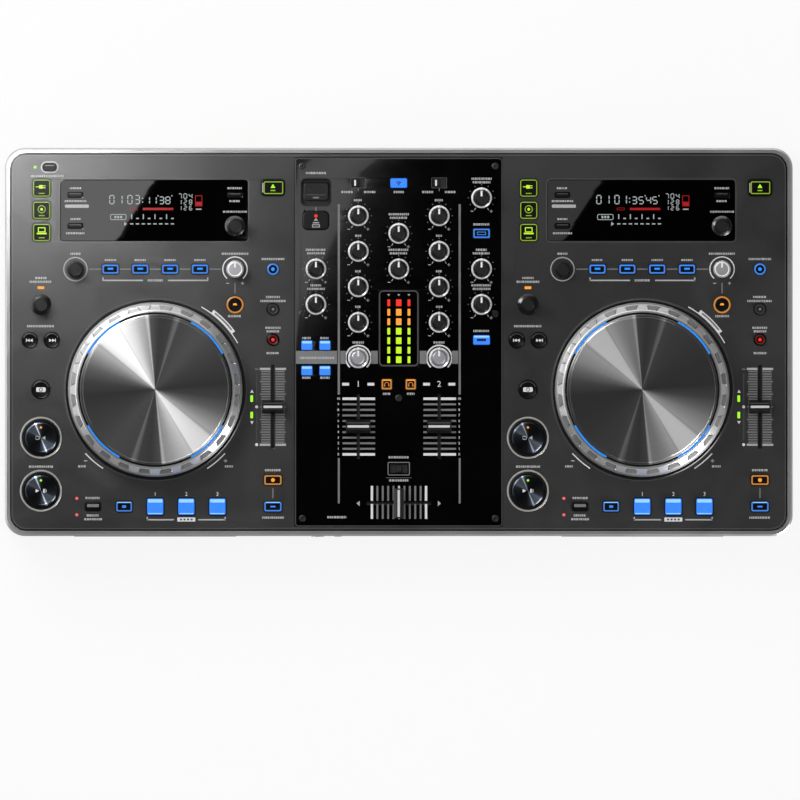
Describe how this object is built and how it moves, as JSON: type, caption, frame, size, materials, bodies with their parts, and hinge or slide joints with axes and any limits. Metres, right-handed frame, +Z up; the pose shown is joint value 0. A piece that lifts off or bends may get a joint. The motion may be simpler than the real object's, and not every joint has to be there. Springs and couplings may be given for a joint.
{
  "type": "dj controller console",
  "caption": "Flat dj console with a mixer between two decks, each with a dimpled jog wheel, keys, pads and a fader.",
  "frame": {"origin": "on the ground under the middle of the console", "axes": "+X to the player's right, +Y to the rear, +Z up"},
  "size_m": [0.623, 0.307, 0.1076],
  "materials": {
    "case_silver": "satin silver-grey moulding",
    "panel_grey": "dark grey satin paint",
    "mixer_gloss": "glossy black",
    "window_dark": "dark clear pane",
    "lamp_lens": "milky lens",
    "foot_rubber": "black rubber",
    "screw_steel": "dark steel",
    "board_green": "glass fibre board",
    "drive_black": "black shell",
    "socket_black": "black moulding",
    "spindle_steel": "turned steel",
    "carrier_grey": "grey moulding",
    "jog_silver": "bright silver plating",
    "jog_face": "turned face",
    "key_black": "satin black keys",
    "transport_black": "satin black buttons",
    "fader_black": "black caps",
    "knob_silver": "silver cap",
    "knob_black": "black cap with a bright skirt"
  },
  "bodies": {
    "console": {"balanced_outputs": "socket_black", "circuit_boards": "board_green", "control_bodies": "carrier_grey", "disc_drives": "drive_black", "display_windows": "window_dark", "feet": "foot_rubber", "indicator_lights": "lamp_lens", "jog_spindles": "spindle_steel", "lower_case": "case_silver", "mixer_plate": "mixer_gloss", "screws": "screw_steel", "sockets": "socket_black", "top_panel": "panel_grey"},
    "jog_left": {"jog_ring_left": "jog_silver", "jog_plate_left": "jog_face"},
    "browse_encoder_left": {"browse_encoder_left": "knob_black"},
    "beat_encoder_left": {"beat_encoder_left": "knob_black"},
    "depth_knob_left": {"depth_knob_left": "knob_silver"},
    "loop_encoder_left": {"loop_encoder_left": "knob_black"},
    "cue_button_left": {"cue_button_left": "transport_black"},
    "play_button_left": {"play_button_left": "transport_black"},
    "deck_keys_left": {"deck_keys_left": "key_black"},
    "jog_right": {"jog_ring_right": "jog_silver", "jog_plate_right": "jog_face"},
    "browse_encoder_right": {"browse_encoder_right": "knob_black"},
    "beat_encoder_right": {"beat_encoder_right": "knob_black"},
    "depth_knob_right": {"depth_knob_right": "knob_silver"},
    "loop_encoder_right": {"loop_encoder_right": "knob_black"},
    "cue_button_right": {"cue_button_right": "transport_black"},
    "play_button_right": {"play_button_right": "transport_black"},
    "deck_keys_right": {"deck_keys_right": "key_black"},
    "trim_knob_1": {"trim_knob_1": "knob_black"},
    "high_knob_1": {"high_knob_1": "knob_black"},
    "middle_knob_1": {"middle_knob_1": "knob_black"},
    "low_knob_1": {"low_knob_1": "knob_black"},
    "filter_knob_1": {"filter_knob_1": "knob_silver"},
    "trim_knob_2": {"trim_knob_2": "knob_black"},
    "high_knob_2": {"high_knob_2": "knob_black"},
    "middle_knob_2": {"middle_knob_2": "knob_black"},
    "low_knob_2": {"low_knob_2": "knob_black"},
    "filter_knob_2": {"filter_knob_2": "knob_silver"},
    "master_knob": {"master_knob": "knob_black"},
    "booth_knob": {"booth_knob": "knob_black"},
    "phones_mix_knob": {"phones_mix_knob": "knob_black"},
    "phones_level_knob": {"phones_level_knob": "knob_black"},
    "aux_knob": {"aux_knob": "knob_black"},
    "mic_level_knob": {"mic_level_knob": "knob_black"},
    "mic_tone_knob": {"mic_tone_knob": "knob_black"},
    "tempo_fader_left": {"tempo_fader_left": "fader_black"},
    "tempo_fader_right": {"tempo_fader_right": "fader_black"},
    "channel_fader_1": {"channel_fader_1": "fader_black"},
    "channel_fader_2": {"channel_fader_2": "fader_black"},
    "crossfader": {"crossfader": "fader_black"},
    "input_switch_1": {"input_switch_1": "fader_black"},
    "input_switch_2": {"input_switch_2": "fader_black"},
    "curve_switch": {"curve_switch": "fader_black"},
    "hot_cue_pads": {"hot_cue_pads": "key_black"},
    "mixer_keys": {"mixer_keys": "key_black"},
    "standby_button": {"standby_button": "key_black"},
    "port_cover": {"port_cover": "key_black"}
  },
  "joints": [
    {"name": "jog_left_spin", "type": "hinge", "parent": "console", "child": "jog_left", "pos_m": [-0.1926, -0.0377, 0.1076], "axis": [0, 0, 1], "continuous": true},
    {"name": "browse_encoder_left_turn", "type": "hinge", "parent": "console", "child": "browse_encoder_left", "pos_m": [-0.1295, 0.09175, 0.08], "axis": [0, 0, 1], "continuous": true},
    {"name": "beat_encoder_left_turn", "type": "hinge", "parent": "console", "child": "beat_encoder_left", "pos_m": [-0.2557, 0.0576, 0.08], "axis": [0, 0, 1], "continuous": true},
    {"name": "depth_knob_left_turn", "type": "hinge", "parent": "console", "child": "depth_knob_left", "pos_m": [-0.1295, 0.0576, 0.08], "axis": [0, 0, 1], "range_deg": [-150, 150]},
    {"name": "loop_encoder_left_turn", "type": "hinge", "parent": "console", "child": "loop_encoder_left", "pos_m": [-0.283, 0.0297, 0.08], "axis": [0, 0, 1], "continuous": true},
    {"name": "cue_button_left_press", "type": "slide", "parent": "console", "child": "cue_button_left", "axis": [0, 0, -1], "range_m": [0, 0.001], "stiffness_N_per_m": 150, "springref_m": -0.002},
    {"name": "play_button_left_press", "type": "slide", "parent": "console", "child": "play_button_left", "axis": [0, 0, -1], "range_m": [0, 0.001], "stiffness_N_per_m": 150, "springref_m": -0.002},
    {"name": "deck_keys_left_press", "type": "slide", "parent": "console", "child": "deck_keys_left", "axis": [0, 0, -1], "range_m": [0, 0.0008], "stiffness_N_per_m": 500, "springref_m": -0.002},
    {"name": "jog_right_spin", "type": "hinge", "parent": "console", "child": "jog_right", "pos_m": [0.1926, -0.0377, 0.1076], "axis": [0, 0, 1], "continuous": true},
    {"name": "browse_encoder_right_turn", "type": "hinge", "parent": "console", "child": "browse_encoder_right", "pos_m": [0.2557, 0.09175, 0.08], "axis": [0, 0, 1], "continuous": true},
    {"name": "beat_encoder_right_turn", "type": "hinge", "parent": "console", "child": "beat_encoder_right", "pos_m": [0.1295, 0.0576, 0.08], "axis": [0, 0, 1], "continuous": true},
    {"name": "depth_knob_right_turn", "type": "hinge", "parent": "console", "child": "depth_knob_right", "pos_m": [0.2557, 0.0576, 0.08], "axis": [0, 0, 1], "range_deg": [-150, 150]},
    {"name": "loop_encoder_right_turn", "type": "hinge", "parent": "console", "child": "loop_encoder_right", "pos_m": [0.1022, 0.0297, 0.08], "axis": [0, 0, 1], "continuous": true},
    {"name": "cue_button_right_press", "type": "slide", "parent": "console", "child": "cue_button_right", "axis": [0, 0, -1], "range_m": [0, 0.001], "stiffness_N_per_m": 150, "springref_m": -0.002},
    {"name": "play_button_right_press", "type": "slide", "parent": "console", "child": "play_button_right", "axis": [0, 0, -1], "range_m": [0, 0.001], "stiffness_N_per_m": 150, "springref_m": -0.002},
    {"name": "deck_keys_right_press", "type": "slide", "parent": "console", "child": "deck_keys_right", "axis": [0, 0, -1], "range_m": [0, 0.0008], "stiffness_N_per_m": 500, "springref_m": -0.002},
    {"name": "trim_knob_1_turn", "type": "hinge", "parent": "console", "child": "trim_knob_1", "pos_m": [-0.032, 0.0998, 0.0803], "axis": [0, 0, 1], "range_deg": [-150, 150]},
    {"name": "high_knob_1_turn", "type": "hinge", "parent": "console", "child": "high_knob_1", "pos_m": [-0.032, 0.0717, 0.0803], "axis": [0, 0, 1], "range_deg": [-150, 150]},
    {"name": "middle_knob_1_turn", "type": "hinge", "parent": "console", "child": "middle_knob_1", "pos_m": [-0.032, 0.0436, 0.0803], "axis": [0, 0, 1], "range_deg": [-150, 150]},
    {"name": "low_knob_1_turn", "type": "hinge", "parent": "console", "child": "low_knob_1", "pos_m": [-0.032, 0.0155, 0.0803], "axis": [0, 0, 1], "range_deg": [-150, 150]},
    {"name": "filter_knob_1_turn", "type": "hinge", "parent": "console", "child": "filter_knob_1", "pos_m": [-0.032, -0.0126, 0.0803], "axis": [0, 0, 1], "range_deg": [-150, 150]},
    {"name": "trim_knob_2_turn", "type": "hinge", "parent": "console", "child": "trim_knob_2", "pos_m": [0.032, 0.0998, 0.0803], "axis": [0, 0, 1], "range_deg": [-150, 150]},
    {"name": "high_knob_2_turn", "type": "hinge", "parent": "console", "child": "high_knob_2", "pos_m": [0.032, 0.0717, 0.0803], "axis": [0, 0, 1], "range_deg": [-150, 150]},
    {"name": "middle_knob_2_turn", "type": "hinge", "parent": "console", "child": "middle_knob_2", "pos_m": [0.032, 0.0436, 0.0803], "axis": [0, 0, 1], "range_deg": [-150, 150]},
    {"name": "low_knob_2_turn", "type": "hinge", "parent": "console", "child": "low_knob_2", "pos_m": [0.032, 0.0155, 0.0803], "axis": [0, 0, 1], "range_deg": [-150, 150]},
    {"name": "filter_knob_2_turn", "type": "hinge", "parent": "console", "child": "filter_knob_2", "pos_m": [0.032, -0.0126, 0.0803], "axis": [0, 0, 1], "range_deg": [-150, 150]},
    {"name": "master_knob_turn", "type": "hinge", "parent": "console", "child": "master_knob", "pos_m": [0, 0.0859, 0.0803], "axis": [0, 0, 1], "range_deg": [-150, 150]},
    {"name": "booth_knob_turn", "type": "hinge", "parent": "console", "child": "booth_knob", "pos_m": [0, 0.0578, 0.0803], "axis": [0, 0, 1], "range_deg": [-150, 150]},
    {"name": "phones_mix_knob_turn", "type": "hinge", "parent": "console", "child": "phones_mix_knob", "pos_m": [-0.0655, 0.0578, 0.0803], "axis": [0, 0, 1], "range_deg": [-150, 150]},
    {"name": "phones_level_knob_turn", "type": "hinge", "parent": "console", "child": "phones_level_knob", "pos_m": [-0.0655, 0.0297, 0.0803], "axis": [0, 0, 1], "range_deg": [-150, 150]},
    {"name": "aux_knob_turn", "type": "hinge", "parent": "console", "child": "aux_knob", "pos_m": [0.0655, 0.114, 0.0803], "axis": [0, 0, 1], "range_deg": [-150, 150]},
    {"name": "mic_level_knob_turn", "type": "hinge", "parent": "console", "child": "mic_level_knob", "pos_m": [0.0655, 0.0578, 0.0803], "axis": [0, 0, 1], "range_deg": [-150, 150]},
    {"name": "mic_tone_knob_turn", "type": "hinge", "parent": "console", "child": "mic_tone_knob", "pos_m": [0.0655, 0.0297, 0.0803], "axis": [0, 0, 1], "range_deg": [-150, 150]},
    {"name": "tempo_fader_left_slide", "type": "slide", "parent": "console", "child": "tempo_fader_left", "axis": [0, 1, 0], "range_m": [-0.03, 0.03]},
    {"name": "tempo_fader_right_slide", "type": "slide", "parent": "console", "child": "tempo_fader_right", "axis": [0, 1, 0], "range_m": [-0.03, 0.03]},
    {"name": "channel_fader_1_slide", "type": "slide", "parent": "console", "child": "channel_fader_1", "axis": [0, 1, 0], "range_m": [-0.0225, 0.0225]},
    {"name": "channel_fader_2_slide", "type": "slide", "parent": "console", "child": "channel_fader_2", "axis": [0, 1, 0], "range_m": [-0.0225, 0.0225]},
    {"name": "crossfader_slide", "type": "slide", "parent": "console", "child": "crossfader", "axis": [1, 0, 0], "range_m": [-0.0225, 0.0225]},
    {"name": "input_switch_1_slide", "type": "slide", "parent": "console", "child": "input_switch_1", "axis": [1, 0, 0], "range_m": [0, 0.0042]},
    {"name": "input_switch_2_slide", "type": "slide", "parent": "console", "child": "input_switch_2", "axis": [1, 0, 0], "range_m": [0, 0.0042]},
    {"name": "curve_switch_slide", "type": "slide", "parent": "console", "child": "curve_switch", "axis": [1, 0, 0], "range_m": [-0.004, 0.004]},
    {"name": "hot_cue_pads_press", "type": "slide", "parent": "console", "child": "hot_cue_pads", "axis": [0, 0, -1], "range_m": [0, 0.0008], "stiffness_N_per_m": 300, "springref_m": -0.002},
    {"name": "mixer_keys_press", "type": "slide", "parent": "console", "child": "mixer_keys", "axis": [0, 0, -1], "range_m": [0, 0.0008], "stiffness_N_per_m": 300, "springref_m": -0.002},
    {"name": "standby_button_press", "type": "slide", "parent": "console", "child": "standby_button", "axis": [0, 0, -1], "range_m": [0, 0.0008], "stiffness_N_per_m": 150, "springref_m": -0.002},
    {"name": "port_cover_hinge", "type": "hinge", "parent": "console", "child": "port_cover", "pos_m": [-0.0655, 0.12635, 0.07925], "axis": [-1, 0, 0], "range_deg": [0, 100]}
  ]
}
